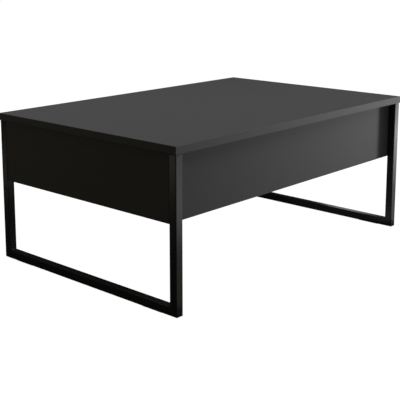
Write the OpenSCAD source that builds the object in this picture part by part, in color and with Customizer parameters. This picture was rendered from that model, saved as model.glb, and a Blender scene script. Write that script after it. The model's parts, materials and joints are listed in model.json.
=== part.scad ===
// Lift top coffee table: a storage box carried between two U-shaped tube end frames,
// closed by a one-piece lid that rises and moves forward on two parallel-arm lifts.
// Origin: centre of the footprint, on the floor. Front is -Y, up is +Z. Millimetres.

/* [Table] */
// Length of the lid, left to right
table_l = 900; // [860:10:1200]
// Width of the lid, front to back
table_w = 600; // [600:10:760]
// Height from the floor to the top of the closed lid
table_h = 370; // [360:5:480]

/* [Lid] */
// Thickness of the lid
lid_t = 18; // [16:1:25]
// How far the lid stands out past the end frames, all round
lid_overhang = 2; // [1:0.5:8]
// Thickness of the edging strips glued round the lid
band_t = 1; // [0.8:0.1:1.6]

/* [End frames] */
// Outside width of the square steel tube
tube = 20; // [20:1:30]
// Wall of the tube
tube_wall = 1.5; // [1.2:0.1:2]
// Radius of the tube's outside corners
tube_r = 1.6; // [1:0.1:2.5]

/* [Storage box] */
// Thickness of the front, back and end panels
board_t = 18; // [18:1:20]
// Height of the panels
panel_h = 149; // [149:1:180]
// Thickness of the bottom board
bottom_t = 9; // [6:1:10]
// Depth of the grooves that hold the bottom board
groove_d = 6; // [5:0.5:8]

/* [Lift] */
// Length of the lifting arms between their pivots
arm_l = 200; // [180:5:210]
// Width of the flat-bar arms
arm_w = 25; // [22:1:26]
// Thickness of the flat-bar arms
arm_t = 3; // [3:0.5:3.5]
// Angle of the arms above the horizontal with the lid closed
closed_angle = 10; // [8:1:12]
// Angle that the arms turn through as the lid opens
lift_angle = 110; // [90:1:112]
// Distance along the table between the front and rear pivots
pivot_gap = 150; // [140:5:155]
// Diameter of the pivot pins
pin_d = 8; // [8:0.5:9]

/* [Hidden] */
$fn = 48;
skin = 0.1;                 // gap left round a pin, dowel or screw in its own hole
run_gap = 0.08;             // radial clearance where an arm turns on a pin
open_gap = 0.3;             // radial clearance at the upper end of the front arms
side_gap = 0.2;             // gap between the flat faces of an arm and its spacers
over = 1;                   // how far a cutting shape runs past the face it cuts

glide_t = 1;                // pads under the floor rails
cap_flange = 1;             // flange of the plastic caps in the tops of the legs
lid_gap = 1;                // rubber bumpers between the box and the lid
joint_gap = 0.8;            // open joint between an end panel and the legs beside it
band_r = 0.7;               // rounding of the lid's edging

// End frames
frame_x = table_l / 2 - lid_overhang;
frame_y = table_w / 2 - lid_overhang;
frame_top = table_h - lid_t - lid_gap;
lid_under = table_h - lid_t;
leg_h = frame_top - cap_flange - glide_t;
cap_plug_h = 12;
glide_size = [16, 60, glide_t];
glide_y = frame_y - 45;

// Storage box
box_z0 = frame_top - panel_h;
board_z0 = box_z0 + band_t;
board_h = panel_h - 2 * band_t;
end_out = frame_x - (tube - board_t) / 2;
end_in = end_out - board_t;
end_half = frame_y - tube;
end_panel_half = end_half - joint_gap;
front_out = end_half - 1;
front_in = front_out - board_t;
front_mid = (front_out + front_in) / 2;
groove_z0 = box_z0 + 12;
groove_z1 = groove_z0 + bottom_t + 0.2;

// Lugs that join the legs to the end panels
lug = [2.5, 60, 30];
lug_z0 = box_z0 + 60;
lug_screw_y = [front_in - 13, front_in - 31];
lug_screw_z = lug_z0 + lug.z / 2;

// Corner fittings of the box
cam_d = 15;
cam_h = 12.5;
cam_x = end_in - 34;
cam_z = [box_z0 + 34, frame_top - 27];
cam_bolt_d = 6;
cam_thread_d = 5;
cam_thread_l = 12;
dowel_d = 8;
dowel_l = 30;
dowel_in_end = 11;
dowel_z = [box_z0 + 50, frame_top - 47];

// Countersunk and pan head screws
screw_d = 4;
screw_l = 12;
screw_tip = 2;
screw_head_d = 8;
screw_head_h = 2.2;

// Pivots, as [Y, Z] on the box and on the closed lid
pivot_drop = 20;
pivot_front = [-(frame_y - 113), frame_top - 76];
pivot_rear = pivot_front + [pivot_gap, -pivot_drop];
arm_dir = [cos(closed_angle), sin(closed_angle)];
lid_pivot_front = pivot_front + arm_l * arm_dir;
lid_pivot_rear = pivot_rear + arm_l * arm_dir;

// Layers of each lift, measured inwards from the end panel's inner face
sheet = 2.5;
rear_arm_x = 4;
front_arm_x = 8.5;
lid_web_x = 13;
base_w = 34;
lid_flange_w = 30;
head_h = 2;
head_d = 14;
spacer_d = 14;

// Base bracket: a folded channel, open upwards
base_y0 = pivot_front.x - 28;
base_y1 = pivot_rear.x + 25;
base_z0 = groove_z1 + 3;
base_z1 = pivot_front.y + 15;
base_screw_z = base_z0 + 14;
base_screw_y = [for (i = [0 : 3]) base_y0 + 13 + i * 38];
driver_hole_d = 12;

// Spring wound round the rear base pivot
wire_d = 3;
coil_r = arm_w / 2 + wire_d / 2 + 0.5;
coil_turns = 6;
coil_pitch = wire_d - 0.1;
coil_x0 = rear_arm_x + arm_t + 3.5;
coil_x1 = coil_x0 + (coil_turns - 1) * coil_pitch;
spring_leg = 50;
spring_anchor = 35;
spring_bush_d = 2 * coil_r - wire_d - 2;

// Stop stud that the rear arm meets when the lid is fully open
stop_d = 10;
stop_reach = 45;
stop_gap = 0.3;
open_dir = [cos(closed_angle + lift_angle), sin(closed_angle + lift_angle)];
open_side = [-open_dir.y, open_dir.x];
stop_pos = pivot_rear + stop_reach * open_dir + (arm_w / 2 + stop_d / 2 + stop_gap) * open_side;

// Cross bar between the two rear arms
bar_d = 16;
bar_wall = 1.5;
bar_reach = 100;
bar_pos = pivot_rear + bar_reach * arm_dir;
bar_bolt_d = 6;
bar_bolt_l = 14;

// Lid brackets
lid_boss_r = 14;
lid_screw_y = [for (i = [0 : 3]) lid_pivot_front.x + 2 + i * 49];

steel_black = [0.07, 0.07, 0.07];
board_grey = [0.22, 0.22, 0.23];
zinc = [0.72, 0.73, 0.75];

// Helpers ---------------------------------------------------------------------------------

// The children as drawn on the left, and again on the right
module both_sides() {
    children();
    mirror([1, 0, 0]) children();
}

// The children as drawn at the front, and again at the back
module both_ends() {
    children();
    mirror([0, 1, 0]) children();
}

// The children moved to the right-hand side
module on_right() {
    mirror([1, 0, 0]) children();
}

// Moves to the left end panel's inner face, where X counts inwards
module at_left_wall() {
    translate([-end_in, 0, 0]) children();
}

// Extrudes a [Y, Z] outline along X, from x0 for a length
module plate_x(x0, length) {
    translate([x0, 0, 0]) rotate([90, 0, 90]) linear_extrude(length) children();
}

// A round bar along X at the [Y, Z] point p
module rod_x(p, d, x0, x1) {
    translate([x0, p.x, p.y]) rotate([0, 90, 0]) cylinder(d = d, h = x1 - x0);
}

// A ring along X at the [Y, Z] point p
module ring_x(p, d_out, d_in, x0, x1) {
    difference() {
        rod_x(p, d_out, x0, x1);
        rod_x(p, d_in, x0 - over, x1 + over);
    }
}

// A screw whose head's flat side lies at z = 0, with its shank pointing along +Z
module pan_screw() {
    translate([0, 0, -screw_head_h]) cylinder(d = screw_head_d, h = screw_head_h);
    cylinder(d = screw_d, h = screw_l);
    translate([0, 0, screw_l]) cylinder(d1 = screw_d, d2 = 0.8, h = screw_tip);
}

// A countersunk screw whose head's face lies at z = 0, with its shank pointing along -Z
module flat_screw() {
    difference() {
        union() {
            translate([0, 0, -screw_head_h]) cylinder(d1 = screw_d, d2 = screw_head_d - skin, h = screw_head_h);
            translate([0, 0, -screw_l]) cylinder(d = screw_d, h = screw_l);
        }
        cross_recess();
    }
    translate([0, 0, -screw_l - screw_tip]) cylinder(d1 = 0.8, d2 = screw_d, h = screw_tip);
}

// The driver recess of a screw or cam, cut downwards from z = 0
module cross_recess() {
    for (turn = [0, 90]) {
        rotate([0, 0, turn]) translate([-2.2, -0.5, -1.4]) cube([4.4, 1, 1.4 + over]);
    }
}

// The hole and countersink for flat_screw()
module flat_screw_hole(depth) {
    translate([0, 0, -screw_head_h]) cylinder(d1 = screw_d + skin, d2 = screw_head_d + skin, h = screw_head_h);
    translate([0, 0, -depth]) cylinder(d = screw_d + skin, h = depth + over);
}

// The hole in a panel for flat_screw(), whose head stands off from the panel's face
module screw_pilot(standoff) {
    depth = screw_l + screw_tip - standoff + skin;
    translate([0, 0, -depth]) cylinder(d = screw_d + skin, h = depth + over);
}

// End frames ------------------------------------------------------------------------------

module rounded_square(side, r) {
    square([side, side - 2 * r], center = true);
    square([side - 2 * r, side], center = true);
    for (x = [-1, 1], y = [-1, 1]) {
        translate([x * (side / 2 - r), y * (side / 2 - r)]) circle(r);
    }
}

module square_tube(length) {
    linear_extrude(length) difference() {
        rounded_square(tube, tube_r);
        rounded_square(tube - 2 * tube_wall, 0.6);
    }
}

// Front left leg, mitred at the foot where the floor rail joins it
module leg() {
    color(steel_black) translate([-frame_x, -frame_y, glide_t]) difference() {
        translate([tube / 2, tube / 2, 0]) square_tube(leg_h);
        plate_x(-over, tube + 2 * over)
            polygon([[-over, -over], [tube + over, -over], [tube + over, tube + over]]);
    }
}

// Left floor rail, mitred at both ends
module floor_rail() {
    color(steel_black) translate([-frame_x, 0, glide_t]) difference() {
        translate([tube / 2, frame_y, tube / 2]) rotate([90, 0, 0]) square_tube(2 * frame_y);
        both_ends() translate([0, -frame_y, 0]) plate_x(-over, tube + 2 * over)
            polygon([[-over, -over], [tube + over, tube + over], [-over, tube + over]]);
    }
}

// Flat lugs welded to the backs of the legs, let into the end panels
module panel_lugs() {
    color(steel_black) both_sides() both_ends() difference() {
        translate([-end_in - lug.x, -end_half, lug_z0]) cube(lug);
        lug_screw_places() flat_screw_hole(lug.x + over);
    }
}

// Places of the lug screws at the front left corner; their heads face inwards
module lug_screw_places() {
    for (y = lug_screw_y) {
        translate([-end_in, -y, lug_screw_z]) rotate([0, 90, 0]) children();
    }
}

module lug_screws() {
    color(zinc) both_sides() both_ends() lug_screw_places() flat_screw();
}

module leg_caps() {
    color([0.09, 0.09, 0.09]) both_sides() both_ends()
    translate([-frame_x + tube / 2, -frame_y + tube / 2, frame_top - cap_flange]) {
        linear_extrude(cap_flange) rounded_square(tube, tube_r);
        translate([0, 0, -cap_plug_h]) linear_extrude(cap_plug_h) difference() {
            square(tube - 2 * tube_wall - 2 * skin - 1, center = true);
            square(tube - 2 * tube_wall - 5, center = true);
        }
    }
}

module floor_glides() {
    color([0.05, 0.05, 0.05]) both_sides() both_ends()
    translate([-frame_x + (tube - glide_size.x) / 2, -glide_y, 0]) cube(glide_size);
}

// Storage box -----------------------------------------------------------------------------

// Places of the cam bolts and dowels at the front left corner, along +X from the end panel
module corner_places(heights) {
    for (z = heights) {
        translate([-end_in, -front_mid, z]) rotate([0, 90, 0]) children();
    }
}

module end_panel() {
    color(board_grey) difference() {
        translate([-end_out, -end_panel_half, board_z0]) cube([board_t, 2 * end_panel_half, board_h]);
        translate([-end_in - groove_d, -front_in - groove_d, groove_z0])
            cube([groove_d + over, 2 * (front_in + groove_d), groove_z1 - groove_z0]);
        both_ends() {
            translate([-end_in - lug.x, -end_half - over, lug_z0 - skin])
                cube([lug.x + over, lug.y + over + skin, lug.z + 2 * skin]);
            lug_screw_places() screw_pilot(0);
            corner_places(cam_z) translate([0, 0, -cam_thread_l - 0.5])
                cylinder(d = cam_thread_d + skin, h = cam_thread_l + over);
            corner_places(dowel_z) translate([0, 0, -dowel_in_end - 0.5])
                cylinder(d = dowel_d + skin, h = dowel_in_end + over);
        }
        base_screw_places() screw_pilot(sheet);
    }
}

module front_panel() {
    color(board_grey) difference() {
        translate([-end_in, -front_out, board_z0]) cube([2 * end_in, board_t, board_h]);
        translate([-end_in - over, -front_in - groove_d, groove_z0])
            cube([2 * (end_in + over), groove_d + over, groove_z1 - groove_z0]);
        both_sides() {
            cam_places() translate([0, 0, -cam_h - 0.3]) cylinder(d = cam_d + skin, h = cam_h + over);
            corner_places(cam_z) translate([0, 0, -over]) cylinder(d = cam_bolt_d + 2, h = end_in - cam_x + over);
            corner_places(dowel_z) translate([0, 0, -over])
                cylinder(d = dowel_d + skin, h = dowel_l - dowel_in_end + over + 0.5);
        }
    }
}

// Edging strips along the tops and the bottoms of the four panels
module panel_edge_bands() {
    color(board_grey) for (z = [box_z0, frame_top - band_t]) {
        both_sides() translate([-end_out, -end_panel_half, z]) cube([board_t, 2 * end_panel_half, band_t]);
        both_ends() translate([-end_in + skin, -front_out, z]) cube([2 * (end_in - skin), board_t, band_t]);
    }
}

module bottom_board() {
    side = groove_d - 0.2;
    color(board_grey) translate([-end_in - side, -front_in - side, groove_z0 + skin])
        cube([2 * (end_in + side), 2 * (front_in + side), bottom_t]);
}

// Places of the cams at the front left corner; z = 0 is the panel's inner face
module cam_places() {
    for (z = cam_z) {
        translate([-cam_x, -front_in, z]) rotate([-90, 0, 0]) children();
    }
}

module cam_locks() {
    bolt_depth = board_t / 2;
    color(zinc) both_sides() both_ends() cam_places() difference() {
        translate([0, 0, -cam_h]) cylinder(d = cam_d - skin, h = cam_h);
        translate([-cam_d, 0, -bolt_depth]) rotate([0, 90, 0]) cylinder(d = cam_bolt_d + 2, h = cam_d + 3);
        cross_recess();
    }
}

module cam_bolts() {
    neck = end_in - cam_x - cam_d / 2 - 2;
    color(zinc) both_sides() both_ends() corner_places(cam_z) {
        translate([0, 0, -cam_thread_l]) cylinder(d = cam_thread_d, h = cam_thread_l + over);
        cylinder(d = cam_bolt_d, h = neck);
        cylinder(d = 4, h = end_in - cam_x - 1);
        translate([0, 0, end_in - cam_x - 3]) cylinder(d = cam_bolt_d + 1, h = 3);
    }
}

module corner_dowels() {
    bevel = 1;
    color([0.8, 0.66, 0.45]) both_sides() both_ends() corner_places(dowel_z) translate([0, 0, -dowel_in_end]) {
        cylinder(d1 = dowel_d - 2 * bevel, d2 = dowel_d, h = bevel);
        translate([0, 0, bevel]) cylinder(d = dowel_d, h = dowel_l - 2 * bevel);
        translate([0, 0, dowel_l - bevel]) cylinder(d1 = dowel_d, d2 = dowel_d - 2 * bevel, h = bevel);
    }
}

module lid_bumpers() {
    color([0.12, 0.12, 0.12]) both_sides() both_ends()
        translate([-end_in * 0.7, -front_mid, frame_top]) cylinder(d = 10, h = lid_gap);
}

// Lifts: fixed parts ----------------------------------------------------------------------

// Places of the bracket screws in the left end panel; their heads face inwards
module base_screw_places() {
    for (y = base_screw_y) {
        translate([-end_in, y, base_screw_z]) rotate([0, 90, 0]) children();
    }
}

module base_bracket() {
    length = base_y1 - base_y0;
    height = base_z1 - base_z0;
    spring_hole = [pivot_rear.x - spring_anchor, pivot_rear.y - coil_r];
    color(steel_black) difference() {
        at_left_wall() translate([0, base_y0, base_z0]) {
            cube([sheet, length, height]);
            cube([base_w, length, sheet]);
            translate([base_w - sheet, 0, 0]) cube([sheet, length, height]);
        }
        at_left_wall() {
            rod_x(pivot_front, pin_d + skin, -over, base_w + over);
            rod_x(pivot_rear, pin_d + skin, -over, base_w + over);
            rod_x(stop_pos, 6 + skin, -over, sheet + over);
            rod_x(spring_hole, wire_d + 1, base_w - sheet - over, base_w + over);
        }
        base_screw_places() {
            translate([0, 0, sheet]) flat_screw_hole(sheet + over);
            translate([0, 0, base_w - sheet - over]) cylinder(d = driver_hole_d, h = sheet + 2 * over);
        }
    }
}

module base_bracket_screws() {
    color(zinc) both_sides() base_screw_places() translate([0, 0, sheet]) flat_screw();
}

// Pin riveted through both webs of the base bracket
module base_pin(p) {
    color(zinc) at_left_wall() {
        rod_x(p, pin_d, 0.2, base_w + head_h);
        rod_x(p, head_d, base_w, base_w + head_h);
    }
}

// Nylon rings that keep the arms in their layers on the base pins
module base_pin_spacers() {
    inner = base_w - sheet - side_gap;
    bore = pin_d + 2 * skin;
    color([0.85, 0.85, 0.82]) both_sides() at_left_wall() {
        ring_x(pivot_rear, spacer_d, bore, sheet, rear_arm_x - side_gap);
        ring_x(pivot_front, spacer_d, bore, sheet, front_arm_x - side_gap);
        ring_x(pivot_front, spacer_d, bore, front_arm_x + arm_t + side_gap, inner);
    }
}

module spring_bush() {
    color([0.85, 0.85, 0.82]) at_left_wall()
        ring_x(pivot_rear, spring_bush_d, pin_d + 2 * skin, rear_arm_x + arm_t + side_gap, base_w - sheet - side_gap);
}

// Torsion spring: close-wound turns, one leg under the rear arm, one through the bracket
module lift_spring() {
    leg_d = wire_d - 0.3;
    leg_r = coil_r - 0.2;
    lap = 1;
    foot = [pivot_rear.x, pivot_rear.y - leg_r];
    heel = pivot_rear + leg_r * [arm_dir.y, -arm_dir.x];
    toe = heel + spring_leg * arm_dir;
    color([0.35, 0.35, 0.36]) at_left_wall() {
        translate([coil_x0, pivot_rear.x, pivot_rear.y]) rotate([0, 90, 0]) rotate_extrude() {
            translate([coil_r - 1, 0]) square([2, coil_x1 - coil_x0]);
            for (i = [0 : coil_turns - 1]) {
                translate([coil_r, i * coil_pitch]) circle(d = wire_d, $fn = 24);
            }
        }
        translate([coil_x0, heel.x, heel.y]) rotate([closed_angle - 90, 0, 0])
            cylinder(d = leg_d, h = spring_leg + lap);
        rod_x(toe, leg_d, rear_arm_x - 0.5, coil_x0 + lap);
        translate([coil_x1, foot.x, foot.y]) rotate([90, 0, 0]) cylinder(d = leg_d, h = spring_anchor + lap);
        rod_x(foot - [spring_anchor, 0], leg_d, coil_x1 - lap, base_w + 3);
    }
}

module open_stops() {
    color([0.1, 0.1, 0.1]) both_sides() at_left_wall() {
        rod_x(stop_pos, 6, 0.2, sheet + over);
        rod_x(stop_pos, stop_d, sheet, rear_arm_x + arm_t + 0.5);
    }
}

// Lifts: moving parts ---------------------------------------------------------------------

// Flat bar with round ends between the [Y, Z] points p and q
module arm_plate(p, x0) {
    plate_x(x0, arm_t) translate(p) rotate(closed_angle) {
        translate([0, -arm_w / 2]) square([arm_l, arm_w]);
        circle(d = arm_w);
        translate([arm_l, 0]) circle(d = arm_w);
    }
}

module rear_arm() {
    color(steel_black) at_left_wall() difference() {
        arm_plate(pivot_rear, rear_arm_x);
        rod_x(pivot_rear, pin_d + 2 * run_gap, rear_arm_x - over, rear_arm_x + arm_t + over);
        rod_x(lid_pivot_rear, pin_d + 2 * run_gap, rear_arm_x - over, rear_arm_x + arm_t + over);
        rod_x(bar_pos, bar_bolt_d + 2 * skin, rear_arm_x - over, rear_arm_x + arm_t + over);
    }
}

module front_arm() {
    color(steel_black) at_left_wall() difference() {
        arm_plate(pivot_front, front_arm_x);
        rod_x(pivot_front, pin_d + 2 * run_gap, front_arm_x - over, front_arm_x + arm_t + over);
        rod_x(lid_pivot_front, pin_d + 2 * open_gap, front_arm_x - over, front_arm_x + arm_t + over);
    }
}

module cross_bar() {
    half = end_in - rear_arm_x - arm_t;
    plug_l = 20;
    color(steel_black) difference() {
        rod_x(bar_pos, bar_d, -half, half);
        rod_x(bar_pos, bar_d - 2 * bar_wall, -half + plug_l, half - plug_l);
        rod_x(bar_pos, bar_bolt_d + skin, -half - over, -half + plug_l + over);
        rod_x(bar_pos, bar_bolt_d + skin, half - plug_l - over, half + over);
    }
}

module cross_bar_bolts() {
    bolt_head = 3;
    color(zinc) both_sides() at_left_wall() difference() {
        union() {
            rod_x(bar_pos, 10.5, rear_arm_x - bolt_head, rear_arm_x);
            rod_x(bar_pos, bar_bolt_d, rear_arm_x - over, rear_arm_x + arm_t + bar_bolt_l);
        }
        translate([rear_arm_x - bolt_head - over, bar_pos.x, bar_pos.y]) rotate([0, 90, 0])
            cylinder(d = 4.6, h = 1.8 + over, $fn = 6);
    }
}

// Lid -------------------------------------------------------------------------------------

module lid_board() {
    color(board_grey) difference() {
        translate([-table_l / 2 + band_t, -table_w / 2 + band_t, lid_under])
            cube([table_l - 2 * band_t, table_w - 2 * band_t, lid_t]);
        both_sides() lid_screw_places() translate([0, 0, -over])
            cylinder(d = screw_d + skin, h = screw_l + screw_tip - sheet + skin + over);
    }
}

// Cross-section of the lid's edging: its outer face lies at x = 0, with both corners rounded
module band_section() {
    intersection() {
        square([band_t, lid_t]);
        union() {
            translate([band_r, 0]) square([band_t, lid_t]);
            translate([0, band_r]) square([band_t, lid_t - 2 * band_r]);
            for (z = [band_r, lid_t - band_r]) {
                translate([band_r, z]) circle(band_r);
            }
        }
    }
}

// The long strips run the lid's full length, and the short ones fit between them
module lid_edge_bands() {
    side_l = table_w - 2 * (band_t + skin);
    color(board_grey) {
        both_ends() translate([0, -table_w / 2, lid_under]) plate_x(-table_l / 2, table_l) band_section();
        both_sides() translate([-table_l / 2, side_l / 2, lid_under])
            rotate([90, 0, 0]) linear_extrude(side_l) band_section();
    }
}

// Places of the lid screws on the left; z = 0 is the lid's underside
module lid_screw_places() {
    for (y = lid_screw_y) {
        translate([-end_in + lid_web_x + lid_flange_w * 0.6, y, lid_under]) children();
    }
}

module lid_bracket() {
    line = lid_pivot_rear - lid_pivot_front;
    down = [line.y, -line.x] / norm(line);
    front_y = lid_pivot_front.x - lid_boss_r;
    rear_y = lid_pivot_rear.x + lid_boss_r;
    color(steel_black) difference() {
        at_left_wall() {
            plate_x(lid_web_x, sheet) {
                polygon([
                    [front_y, lid_under], [front_y, lid_pivot_front.y],
                    lid_pivot_front + lid_boss_r * down, lid_pivot_rear + lid_boss_r * down,
                    [rear_y, lid_pivot_rear.y], [rear_y, lid_under]
                ]);
                translate(lid_pivot_front) circle(lid_boss_r);
                translate(lid_pivot_rear) circle(lid_boss_r);
            }
            translate([lid_web_x, front_y, lid_under - sheet]) cube([lid_flange_w, rear_y - front_y, sheet]);
        }
        at_left_wall() {
            rod_x(lid_pivot_front, pin_d + skin, lid_web_x - over, lid_web_x + sheet + over);
            rod_x(lid_pivot_rear, pin_d + skin, lid_web_x - over, lid_web_x + sheet + over);
        }
        lid_screw_places() translate([0, 0, -sheet - over]) cylinder(d = screw_d + 0.5, h = sheet + 2 * over);
    }
}

module lid_bracket_screws() {
    color(zinc) both_sides() lid_screw_places() translate([0, 0, -sheet]) difference() {
        pan_screw();
        translate([0, 0, -screw_head_h]) mirror([0, 0, 1]) cross_recess();
    }
}

// Pin riveted in the lid bracket, with its head outside the arm at layer x0
module lid_pin(p, x0) {
    end_x = lid_web_x + sheet;
    color(zinc) at_left_wall() {
        rod_x(p, pin_d, x0 - side_gap - head_h, end_x + 1.5);
        rod_x(p, head_d - 1, x0 - side_gap - head_h, x0 - side_gap);
        rod_x(p, pin_d + 2, end_x, end_x + 1.5);
    }
}

module lid_pin_spacers() {
    bore = pin_d + 2 * skin;
    end_x = lid_web_x - side_gap;
    color([0.85, 0.85, 0.82]) both_sides() at_left_wall() {
        ring_x(lid_pivot_rear, spacer_d, bore, rear_arm_x + arm_t + side_gap, end_x);
        ring_x(lid_pivot_front, spacer_d, bore, front_arm_x + arm_t + side_gap, end_x);
    }
}

lid_board();
lid_edge_bands();
leg();  // left_front_leg
mirror([0, 1, 0]) leg();  // left_rear_leg
floor_rail();  // left_floor_rail
on_right() leg();  // right_front_leg
on_right() mirror([0, 1, 0]) leg();  // right_rear_leg
on_right() floor_rail();  // right_floor_rail
panel_lugs();
lug_screws();
leg_caps();
floor_glides();
front_panel();
mirror([0, 1, 0]) front_panel();  // back_panel
end_panel();  // left_end_panel
on_right() end_panel();  // right_end_panel
bottom_board();
panel_edge_bands();
cam_locks();
cam_bolts();
corner_dowels();
lid_bumpers();
base_bracket();  // left_base_bracket
on_right() base_bracket();  // right_base_bracket
base_bracket_screws();
base_pin(pivot_rear);  // left_rear_base_pin
base_pin(pivot_front);  // left_front_base_pin
on_right() base_pin(pivot_rear);  // right_rear_base_pin
on_right() base_pin(pivot_front);  // right_front_base_pin
base_pin_spacers();
spring_bush();  // left_spring_bush
on_right() spring_bush();  // right_spring_bush
lift_spring();  // left_lift_spring
on_right() lift_spring();  // right_lift_spring
open_stops();
rear_arm();  // left_rear_arm
on_right() rear_arm();  // right_rear_arm
cross_bar();
cross_bar_bolts();
front_arm();  // left_front_arm
on_right() front_arm();  // right_front_arm
lid_bracket();  // left_lid_bracket
on_right() lid_bracket();  // right_lid_bracket
lid_bracket_screws();
lid_pin(lid_pivot_rear, rear_arm_x);  // left_rear_lid_pin
lid_pin(lid_pivot_front, front_arm_x);  // left_front_lid_pin
on_right() lid_pin(lid_pivot_rear, rear_arm_x);  // right_rear_lid_pin
on_right() lid_pin(lid_pivot_front, front_arm_x);  // right_front_lid_pin
lid_pin_spacers();
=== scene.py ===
"""Lift top coffee table: materials, small details, studio, camera. Metres, in the CAD frame."""
import json
import math

import bmesh
import bpy
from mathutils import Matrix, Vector


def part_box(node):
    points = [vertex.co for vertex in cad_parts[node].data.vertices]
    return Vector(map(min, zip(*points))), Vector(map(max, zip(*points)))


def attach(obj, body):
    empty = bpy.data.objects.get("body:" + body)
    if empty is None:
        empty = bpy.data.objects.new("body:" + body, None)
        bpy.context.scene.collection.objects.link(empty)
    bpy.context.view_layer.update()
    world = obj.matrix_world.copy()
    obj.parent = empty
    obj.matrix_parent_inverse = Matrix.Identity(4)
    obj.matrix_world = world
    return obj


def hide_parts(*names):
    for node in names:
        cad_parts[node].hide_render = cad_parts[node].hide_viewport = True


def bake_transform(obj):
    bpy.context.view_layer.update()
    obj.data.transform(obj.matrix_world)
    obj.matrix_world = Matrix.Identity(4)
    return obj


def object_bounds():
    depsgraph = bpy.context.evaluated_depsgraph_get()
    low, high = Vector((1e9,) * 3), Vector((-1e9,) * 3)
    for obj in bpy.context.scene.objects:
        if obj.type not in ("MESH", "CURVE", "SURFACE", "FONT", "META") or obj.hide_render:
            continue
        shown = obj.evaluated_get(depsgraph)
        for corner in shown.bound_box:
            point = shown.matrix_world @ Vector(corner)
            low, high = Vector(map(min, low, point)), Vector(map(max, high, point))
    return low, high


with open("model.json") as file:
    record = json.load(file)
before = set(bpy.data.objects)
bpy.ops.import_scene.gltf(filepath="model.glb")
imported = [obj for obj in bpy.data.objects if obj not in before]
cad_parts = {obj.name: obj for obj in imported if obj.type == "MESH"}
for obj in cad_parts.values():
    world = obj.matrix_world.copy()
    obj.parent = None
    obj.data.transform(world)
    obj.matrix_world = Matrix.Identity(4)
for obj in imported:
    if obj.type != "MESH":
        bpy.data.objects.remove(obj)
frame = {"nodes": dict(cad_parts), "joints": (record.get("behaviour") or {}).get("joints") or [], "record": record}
cad_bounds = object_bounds()

MM = 0.001
NODES = frame["nodes"]
SLOT_OF = {part["node"]: part["material_slot"] for part in frame["record"]["subparts"]}
JOINT_PLACE = {joint["name"]: Vector(joint["pos_m"]) for joint in frame["joints"]}


# Camera ----------------------------------------------------------------------------------

CAMERA_PLACE = Vector((-1.738, -1.524, 0.747))
CAMERA_HEADING = math.radians(48.04)   # turned from +Y towards +X
CAMERA_TILT = math.radians(10.28)      # below the horizon
CAMERA_LENS = 80.75
CAMERA_SHIFT = -0.2
CAMERA_NEAR = 50 * MM


def make_camera():
    data = bpy.data.cameras.new("camera")
    data.lens = CAMERA_LENS
    data.shift_y = CAMERA_SHIFT
    data.clip_start = CAMERA_NEAR
    camera = bpy.data.objects.new("camera", data)
    bpy.context.scene.collection.objects.link(camera)
    ahead = Vector((math.sin(CAMERA_HEADING), math.cos(CAMERA_HEADING), 0))
    look = ahead * math.cos(CAMERA_TILT) - Vector((0, 0, math.sin(CAMERA_TILT)))
    camera.location = CAMERA_PLACE
    camera.rotation_euler = look.to_track_quat("-Z", "Y").to_euler()
    bpy.context.scene.camera = camera


# Node helpers ----------------------------------------------------------------------------

BEVEL_SAMPLES = 6


class Shader:
    """A material with a Principled shader, and short ways to wire textures into it."""

    def __init__(self, name, color, roughness, metallic=0.0, specular=0.5):
        self.material = bpy.data.materials.new(name)
        self.material.use_nodes = True
        self.tree = self.material.node_tree
        self.main = self.tree.nodes["Principled BSDF"]
        self.main.inputs["Base Color"].default_value = (*color, 1)
        self.main.inputs["Roughness"].default_value = roughness
        self.main.inputs["Metallic"].default_value = metallic
        self.main.inputs["Specular IOR Level"].default_value = specular
        self.color = color
        self.place = self.add("ShaderNodeTexCoord").outputs["Object"]

    def add(self, kind, **values):
        node = self.tree.nodes.new(kind)
        for name, value in values.items():
            setattr(node, name, value)
        return node

    def link(self, output, target):
        self.tree.links.new(output, target)

    def stretched(self, scale):
        """Object coordinates multiplied along each axis."""
        mapping = self.add("ShaderNodeMapping")
        mapping.inputs["Scale"].default_value = scale
        self.link(self.place, mapping.inputs["Vector"])
        return mapping.outputs["Vector"]

    def noise(self, grain, detail=2.0, stretch=None):
        """Noise from 0 to 1, whose features are grain metres across."""
        node = self.add("ShaderNodeTexNoise")
        node.inputs["Scale"].default_value = 1 / grain
        node.inputs["Detail"].default_value = detail
        self.link(self.stretched(stretch) if stretch else self.place, node.inputs["Vector"])
        return node.outputs["Fac"]

    def shade(self, value, darkest, lightest):
        """Varies the base colour between two multiples of it, by a 0 to 1 value."""
        ramp = self.add("ShaderNodeValToRGB")
        for stop, share in zip(ramp.color_ramp.elements, (darkest, lightest)):
            stop.color = (*(min(1.0, c * share) for c in self.color), 1)
        self.link(value, ramp.inputs["Fac"])
        self.link(ramp.outputs["Color"], self.main.inputs["Base Color"])

    def rough(self, value, low, high):
        """Varies the roughness from low to high, by a 0 to 1 value."""
        node = self.add("ShaderNodeMapRange")
        node.inputs["To Min"].default_value = low
        node.inputs["To Max"].default_value = high
        self.link(value, node.inputs["Value"])
        self.link(node.outputs["Result"], self.main.inputs["Roughness"])

    def bump(self, layers, edge):
        """Layers of (height 0 to 1, depth in metres), on corners rounded to the radius edge."""
        bevel = self.add("ShaderNodeBevel", samples=BEVEL_SAMPLES)
        bevel.inputs["Radius"].default_value = edge
        normal = bevel.outputs["Normal"]
        for height, depth in layers:
            node = self.add("ShaderNodeBump")
            node.inputs["Strength"].default_value = 1.0
            node.inputs["Distance"].default_value = depth
            self.link(height, node.inputs["Height"])
            self.link(normal, node.inputs["Normal"])
            normal = node.outputs["Normal"]
        self.link(normal, self.main.inputs["Normal"])


# Materials -------------------------------------------------------------------------------

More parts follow.
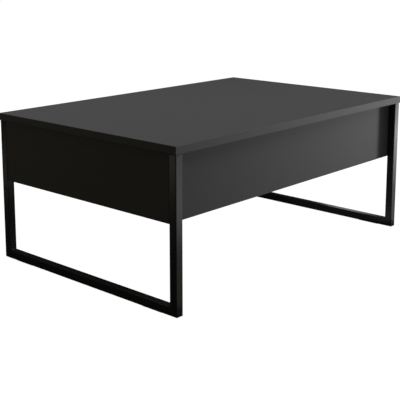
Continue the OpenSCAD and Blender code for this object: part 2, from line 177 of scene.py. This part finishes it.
def melamine(name, color, roughness):
    """Matt laminate pressed on a pearl plate: fine pits, and a faint cloudiness in its tone."""
    shader = Shader(name, color, roughness, specular=0.28)
    clouds = shader.noise(grain=70 * MM, detail=3)
    pearl = shader.noise(grain=0.38 * MM, detail=1.5)
    pits = shader.noise(grain=2.4 * MM)
    shader.shade(clouds, darkest=0.96, lightest=1.04)
    shader.rough(pearl, low=roughness - 0.05, high=roughness + 0.05)
    shader.bump([(pearl, 0.03 * MM), (pits, 0.02 * MM)], edge=0.5 * MM)
    return shader.material


def edging(name, color):
    """Plastic edging strip: smoother than the board, with faint lines along it from the roller."""
    shader = Shader(name, color, roughness=0.7, specular=0.3)
    clouds = shader.noise(grain=33 * MM)
    lines = shader.noise(grain=0.7 * MM, detail=1, stretch=(0.02, 0.02, 1))
    shader.shade(clouds, darkest=0.96, lightest=1.04)
    shader.rough(lines, low=0.66, high=0.74)
    shader.bump([(lines, 0.01 * MM)], edge=0.8 * MM)
    return shader.material


def powder_coat(name, color, roughness):
    """Satin powder coat on steel: orange peel, with the fine grain of the powder in it."""
    shader = Shader(name, color, roughness, specular=0.5)
    clouds = shader.noise(grain=17 * MM, detail=3)
    peel = shader.noise(grain=1.9 * MM)
    powder = shader.noise(grain=0.31 * MM, detail=1)
    shader.shade(clouds, darkest=0.85, lightest=1.15)
    shader.rough(powder, low=roughness - 0.04, high=roughness + 0.05)
    shader.bump([(peel, 0.035 * MM), (powder, 0.008 * MM)], edge=0.5 * MM)
    return shader.material


def plated_steel(name, color, roughness):
    """Zinc plate: metallic, a little cloudy, with fine brush lines."""
    shader = Shader(name, color, roughness, metallic=1.0)
    clouds = shader.noise(grain=11 * MM, detail=3)
    lines = shader.noise(grain=0.42 * MM, detail=1, stretch=(0.05, 1, 1))
    shader.shade(clouds, darkest=0.82, lightest=1.05)
    shader.rough(lines, low=roughness - 0.06, high=roughness + 0.08)
    shader.bump([(lines, 0.006 * MM)], edge=0.2 * MM)
    return shader.material


def moulded(name, color, roughness, grain_depth=0.02 * MM):
    """Moulded nylon, plastic or rubber with a fine spark-eroded grain."""
    shader = Shader(name, color, roughness, specular=0.4)
    clouds = shader.noise(grain=12.5 * MM)
    pits = shader.noise(grain=0.55 * MM)
    shader.shade(clouds, darkest=0.93, lightest=1.04)
    shader.rough(pits, low=roughness - 0.05, high=roughness + 0.07)
    shader.bump([(pits, grain_depth)], edge=0.3 * MM)
    return shader.material


def beech_wood(name, color):
    """Turned beech: straight grain along X with short darker flecks."""
    shader = Shader(name, color, roughness=0.55, specular=0.3)
    flecks = shader.noise(grain=1.1 * MM, detail=3, stretch=(0.06, 1, 1))
    pores = shader.noise(grain=0.67 * MM, stretch=(0.05, 1, 1))
    shader.shade(flecks, darkest=0.72, lightest=1.08)
    shader.bump([(pores, 0.04 * MM)], edge=0.2 * MM)
    return shader.material


def make_materials():
    """One material for each slot of the record, in place of the plain ones that came with the frame."""
    for plain in list(bpy.data.materials):
        bpy.data.materials.remove(plain)
    made = [
        melamine("lid_melamine", (0.062, 0.062, 0.063), roughness=0.76),
        melamine("panel_melamine", (0.058, 0.058, 0.058), roughness=0.76),
        melamine("bottom_melamine", (0.055, 0.055, 0.055), roughness=0.8),
        edging("lid_edging", (0.057, 0.057, 0.058)),
        edging("panel_edging", (0.058, 0.058, 0.058)),
        powder_coat("frame_paint", (0.018, 0.018, 0.018), roughness=0.28),
        powder_coat("lift_paint", (0.022, 0.022, 0.023), roughness=0.45),
        plated_steel("zinc_plate", (0.62, 0.64, 0.66), roughness=0.36),
        plated_steel("pin_steel", (0.58, 0.59, 0.6), roughness=0.26),
        plated_steel("spring_steel", (0.16, 0.16, 0.17), roughness=0.32),
        moulded("nylon", (0.68, 0.67, 0.62), roughness=0.42),
        moulded("cap_plastic", (0.016, 0.016, 0.016), roughness=0.45),
        moulded("glide_rubber", (0.02, 0.02, 0.02), roughness=0.7, grain_depth=0.05 * MM),
        moulded("bumper_rubber", (0.025, 0.025, 0.025), roughness=0.6),
        moulded("stop_rubber", (0.018, 0.018, 0.018), roughness=0.65, grain_depth=0.04 * MM),
        beech_wood("beech", (0.55, 0.36, 0.19)),
    ]
    return {material.name: material for material in made}


def dress_cad(materials):
    for name, node in NODES.items():
        material = materials[SLOT_OF[name]]
        if not node.material_slots:
            node.data.materials.append(material)
        for place in node.material_slots:
            place.material = material


# Mesh helpers ----------------------------------------------------------------------------

def add_object(mesh, slot, materials):
    piece = bpy.data.objects.new(mesh.name, mesh)
    bpy.context.scene.collection.objects.link(piece)
    mesh.materials.append(materials[slot])
    return piece


def skin(name, rings):
    """A closed mesh through rings of points, all with the same count: smooth sides and flat ends."""
    shape = bmesh.new()
    loops = [[shape.verts.new(point) for point in ring] for ring in rings]
    count = len(loops[0])
    for first, second in zip(loops, loops[1:]):
        for k in range(count):
            after = (k + 1) % count
            face = shape.faces.new((first[k], first[after], second[after], second[k]))
            face.smooth = True
    shape.faces.new(loops[0])
    shape.faces.new(loops[-1])
    bmesh.ops.recalc_face_normals(shape, faces=shape.faces)
    mesh = bpy.data.meshes.new(name)
    shape.to_mesh(mesh)
    shape.free()
    return mesh


def round_rings(path, radius, sides):
    """Circles of points square to a path, each turned as little as possible from the one before."""
    turns = [2 * math.pi * k / sides for k in range(sides)]
    rings = []
    across = None
    for i, point in enumerate(path):
        ahead = path[min(i + 1, len(path) - 1)] - path[max(i - 1, 0)]
        ahead.normalize()
        if across is None:
            across = ahead.orthogonal()
        across = (across - ahead * across.dot(ahead)).normalized()
        other = ahead.cross(across)
        spokes = [across * math.cos(turn) + other * math.sin(turn) for turn in turns]
        rings.append([point + spoke * radius for spoke in spokes])
    return rings


def rounded_path(corners, radius, steps=6):
    """The corner points joined by straight runs, with each inner corner turned on an arc."""
    path = [corners[0].copy()]
    for before, corner, after in zip(corners, corners[1:], corners[2:]):
        back = (before - corner).normalized()
        on = (after - corner).normalized()
        half = back.angle(on) / 2
        reach = radius / math.tan(half)
        centre = corner + (back + on).normalized() * radius / math.sin(half)
        start = (corner + back * reach - centre).normalized()
        end = (corner + on * reach - centre).normalized()
        for i in range(steps + 1):
            path.append(centre + start.slerp(end, i / steps) * radius)
    path.append(corners[-1].copy())
    return path


# Lift springs ----------------------------------------------------------------------------

SPRING_WIRE = 3.0 * MM      # the wire's diameter
SPRING_SIDES = 14
SPRING_RADIUS = 14.5 * MM   # pivot to the middle of the wire
SPRING_TURNS = 5            # whole turns between the two hooks
TURN_POINTS = 28
SPRING_PITCH = 3.15 * MM
SPRING_START = 3.5 * MM     # rear arm's face to the first turn
SPRING_TOE = 50 * MM        # the hook's reach along the rear arm
SPRING_FOOT = 35 * MM       # the other hook's reach forward, along the base bracket
SPRING_BEND = 3.3 * MM      # the hooks' bends, to the middle of the wire


def spring_path(first, last, outer, inner):
    """The wire's path: a hook over the rear arm to x = outer, the turns, and a hook to x = inner."""
    pivot = JOINT_PLACE["lid_lift"]
    arm = JOINT_PLACE["lid_level"] - pivot
    tilt = math.atan2(arm.z, arm.y)
    toe_angle = tilt - math.pi / 2
    foot_angle = -math.pi / 2 - 2 * math.pi * SPRING_TURNS
    steps = TURN_POINTS * SPRING_TURNS
    coil = []
    for i in range(steps + 1):
        share = i / steps
        angle = toe_angle + (foot_angle - toe_angle) * share
        spoke = Vector((0, math.cos(angle), math.sin(angle))) * SPRING_RADIUS
        coil.append(Vector((first + (last - first) * share, pivot.y, pivot.z)) + spoke)
    toe = coil[0] + Vector((0, math.cos(tilt), math.sin(tilt))) * SPRING_TOE
    foot = coil[-1] + Vector((0, -SPRING_FOOT, 0))
    toe_run = rounded_path([Vector((outer, toe.y, toe.z)), toe, coil[0]], SPRING_BEND)
    foot_run = rounded_path([coil[-1], foot, Vector((inner, foot.y, foot.z))], SPRING_BEND)
    return toe_run[:-1] + coil + foot_run[1:]


def lift_spring(side, materials):
    """Torsion spring on the rear base pivot, in one fixed shape, with its turns laid along X."""
    node = f"{side}_lift_spring"
    low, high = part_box(node)
    arm_low, arm_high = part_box(f"{side}_rear_arm")
    if side == "left":
        inward, outer, inner, arm_face = 1, low.x, high.x, arm_high.x
    else:
        inward, outer, inner, arm_face = -1, high.x, low.x, arm_low.x
    first = arm_face + inward * SPRING_START
    last = first + inward * SPRING_TURNS * SPRING_PITCH
    rings = round_rings(spring_path(first, last, outer, inner), SPRING_WIRE / 2, SPRING_SIDES)
    piece = add_object(skin(f"{node}_wire", rings), "spring_steel", materials)
    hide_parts(node)
    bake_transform(piece)


# Weld beads ------------------------------------------------------------------------------

WELD_LEG = 3.2 * MM
WELD_MARGIN = 2 * MM        # left bare at each side of the tube
WELD_RIPPLES = 9
WELD_RIPPLE_DEPTH = 0.09    # of the leg
WELD_CROWN = 0.08           # how much of the leg the middle stands proud
WELD_TIP = 0.35             # the leg at the bead's tips, as a share of the full leg
WELD_TAPER = 6.0            # how fast the leg grows from the tips, per length of the bead
WELD_STATIONS = 48
WELD_SIDES = 6


def weld_section(leg):
    """Points (out, up) of a hollow fillet: its root, then an arc from one face to the other."""
    points = [(0, 0)]
    for k in range(WELD_SIDES + 1):
        turn = math.pi / 2 * k / WELD_SIDES
        reach = leg * (1 - WELD_CROWN + WELD_CROWN * math.sin(2 * turn))
        points.append((reach * (1 - math.sin(turn)), reach * (1 - math.cos(turn))))
    return points


def weld_bead(name, corner, toward_y, width):
    """A fillet weld across the inside of a mitred corner: ripples, and thinner at its ends."""
    rings = []
    for i in range(WELD_STATIONS + 1):
        share = i / WELD_STATIONS
        ripple = 1 - WELD_RIPPLE_DEPTH * (1 - abs(math.sin(math.pi * share * WELD_RIPPLES)))
        taper = min(1.0, WELD_TIP + WELD_TAPER * min(share, 1 - share))
        place = corner + Vector(((share - 0.5) * width, 0, 0))
        section = weld_section(WELD_LEG * ripple * taper)
        rings.append([place + Vector((0, toward_y * out, up)) for out, up in section])
    return skin(name, rings)


def weld_beads(materials):
    for side in ("left", "right"):
        low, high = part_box(f"{side}_floor_rail")
        tube = high.x - low.x
        middle = (low.x + high.x) / 2
        for end, y, toward_y in (("front", low.y + tube, 1), ("rear", high.y - tube, -1)):
            corner = Vector((middle, y, high.z))
            mesh = weld_bead(f"{side}_{end}_weld", corner, toward_y, tube - 2 * WELD_MARGIN)
            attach(add_object(mesh, "frame_paint", materials), "box")


# Studio ----------------------------------------------------------------------------------

AIM = Vector((0, 0, 0.68 * cad_bounds[1].z))   # inside the storage box
FLOOR_SIZE = 60.0
FLOOR_Z = -0.2 * MM    # a hair under the pads, so that no two faces lie in one plane
FLOOR_GLOW = 1.0
BACKDROP_GLOW = 1.0
ROOM_LIGHT = 0.01
BOUNCE_Z = 2 * MM      # height of the lights that stand in for light off the floor
STRIP_WIDTH = 0.1      # the floor's bright strip beside the right rail
STRIP_LENGTH = 0.4
UP = Vector((0, 0, 1))
WHITE = (1.0, 1.0, 1.0)
WARM = (1.0, 0.94, 0.74)


def make_floor():
    """A plain pale floor. It is kept out of the light that falls on the table, as on a studio sweep."""
    half = FLOOR_SIZE / 2
    corners = [(x, y, FLOOR_Z) for x, y in ((-half, -half), (half, -half), (half, half), (-half, half))]
    mesh = bpy.data.meshes.new("floor")
    mesh.from_pydata(corners, [], [(0, 1, 2, 3)])
    floor = bpy.data.objects.new("floor", mesh)
    bpy.context.scene.collection.objects.link(floor)
    shader = Shader("floor", (0.06, 0.06, 0.06), roughness=0.9, specular=0.0)
    shader.shade(shader.noise(grain=0.67), darkest=0.98, lightest=1.02)
    shader.main.inputs["Emission Color"].default_value = (*WHITE, 1)
    shader.main.inputs["Emission Strength"].default_value = FLOOR_GLOW
    shader.material.cycles.emission_sampling = "NONE"
    mesh.materials.append(shader.material)
    floor.visible_diffuse = False
    floor.visible_glossy = False


def make_world():
    """White where the camera looks past the table, and almost dark as a light."""
    world = bpy.data.worlds.new("studio")
    bpy.context.scene.world = world
    world.use_nodes = True
    tree = world.node_tree
    backdrop = tree.nodes["Background"]
    room = tree.nodes.new("ShaderNodeBackground")
    for node, strength in ((backdrop, BACKDROP_GLOW), (room, ROOM_LIGHT)):
        node.inputs["Color"].default_value = (*WHITE, 1)
        node.inputs["Strength"].default_value = strength
    path = tree.nodes.new("ShaderNodeLightPath")
    mix = tree.nodes.new("ShaderNodeMixShader")
    tree.links.new(path.outputs["Is Camera Ray"], mix.inputs["Fac"])
    tree.links.new(room.outputs["Background"], mix.inputs[1])
    tree.links.new(backdrop.outputs["Background"], mix.inputs[2])
    tree.links.new(mix.outputs["Shader"], tree.nodes["World Output"].inputs["Surface"])


def oval_light(name, place, aim, width, length, power, color=WHITE):
    """A flat light of that width and length, round if they are the same. The camera doesn't see it."""
    data = bpy.data.lights.new(name, "AREA")
    data.shape = "ELLIPSE"
    data.size = width
    data.size_y = length
    data.energy = power
    data.color = color
    light = bpy.data.objects.new(name, data)
    bpy.context.scene.collection.objects.link(light)
    light.location = place
    light.rotation_euler = (aim - place).to_track_quat("-Z", "Y").to_euler()
    light.visible_camera = False


def direction(azimuth, elevation):
    """Azimuth 0 is to the table's front and 90 to its right, in degrees."""
    turn, rise = math.radians(azimuth), math.radians(elevation)
    return Vector((math.sin(turn) * math.cos(rise), -math.cos(turn) * math.cos(rise), math.sin(rise)))


def softbox(name, azimuth, elevation, distance, size, power, aim=AIM, color=WHITE):
    """A round light that faces what it aims at, from that direction and distance."""
    oval_light(name, aim + direction(azimuth, elevation) * distance, aim, size, size, power, color)


def floor_bounce(name, side, azimuth, distance, size, power, color=WHITE):
    """Light that comes up off a patch of the floor, that far out from the foot of a front leg."""
    low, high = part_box(f"{side}_front_leg")
    foot = Vector(((low.x + high.x) / 2, low.y, BOUNCE_Z))
    place = foot + direction(azimuth, 0) * distance
    oval_light(name, place, place + UP, size, size, power, color)


def rail_bounce(power):
    """Light off the strip of floor beside the right floor rail, on its inner side."""
    low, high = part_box("right_floor_rail")
    place = Vector((low.x - STRIP_WIDTH / 2, low.y + STRIP_LENGTH / 2, BOUNCE_Z))
    oval_light("rail_bounce", place, place + UP, STRIP_WIDTH, STRIP_LENGTH, power, WARM)


def make_lights():
    """A small key light low on the right rakes along the front, with softer lights all round."""
    softbox("key", azimuth=66, elevation=4, distance=2.8, size=0.3, power=44.0)
    softbox("key_raised", azimuth=70, elevation=25, distance=5.0, size=1.8, power=105.0)
    softbox("overhead", azimuth=0, elevation=90, distance=1.95, size=1.2, power=6.8)
    softbox("overhead_rear", azimuth=203, elevation=69, distance=2.1, size=1.2, power=14.0)
    softbox("overhead_front", azimuth=9, elevation=68, distance=3.2, size=2.0, power=12.0)
    softbox("left_fill", azimuth=-105, elevation=4, distance=3.2, size=1.2, power=6.0, color=WARM)
    softbox("back_fill", azimuth=178, elevation=4, distance=3.2, size=1.6, power=26.0)
    rail_low, rail_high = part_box("right_floor_rail")
    rail_front = Vector(((rail_low.x + rail_high.x) / 2, rail_low.y / 2, rail_high.z))
    softbox("rail_rim", azimuth=122, elevation=14, distance=1.0, size=0.2, power=0.13, aim=rail_front)
    floor_bounce("right_bounce", "right", azimuth=62, distance=0.9, size=0.8, power=2.0)
    floor_bounce("right_bounce_far", "right", azimuth=62, distance=1.4, size=0.8, power=7.2)
    floor_bounce("right_bounce_close", "right", azimuth=62, distance=0.25, size=0.4, power=0.2)
    floor_bounce("front_bounce", "left", azimuth=47, distance=0.9, size=0.7, power=1.45)
    floor_bounce("front_bounce_far", "left", azimuth=47, distance=1.5, size=0.7, power=1.45)
    floor_bounce("front_bounce_close", "left", azimuth=47, distance=0.25, size=0.4, power=0.07, color=WARM)
    floor_bounce("left_bounce", "left", azimuth=-142, distance=1.5, size=0.8, power=1.1, color=WARM)
    floor_bounce("under_bounce", "right", azimuth=-100, distance=0.35, size=0.4, power=0.04)
    floor_bounce("foot_bounce", "right", azimuth=-120, distance=0.12, size=0.1, power=0.008)
    rail_bounce(power=0.006)


# Assembly --------------------------------------------------------------------------------

materials = make_materials()
make_camera()
dress_cad(materials)
for side in ("left", "right"):
    lift_spring(side, materials)
weld_beads(materials)
make_floor()
make_world()
make_lights()

bpy.context.scene.view_settings.view_transform = "Standard"
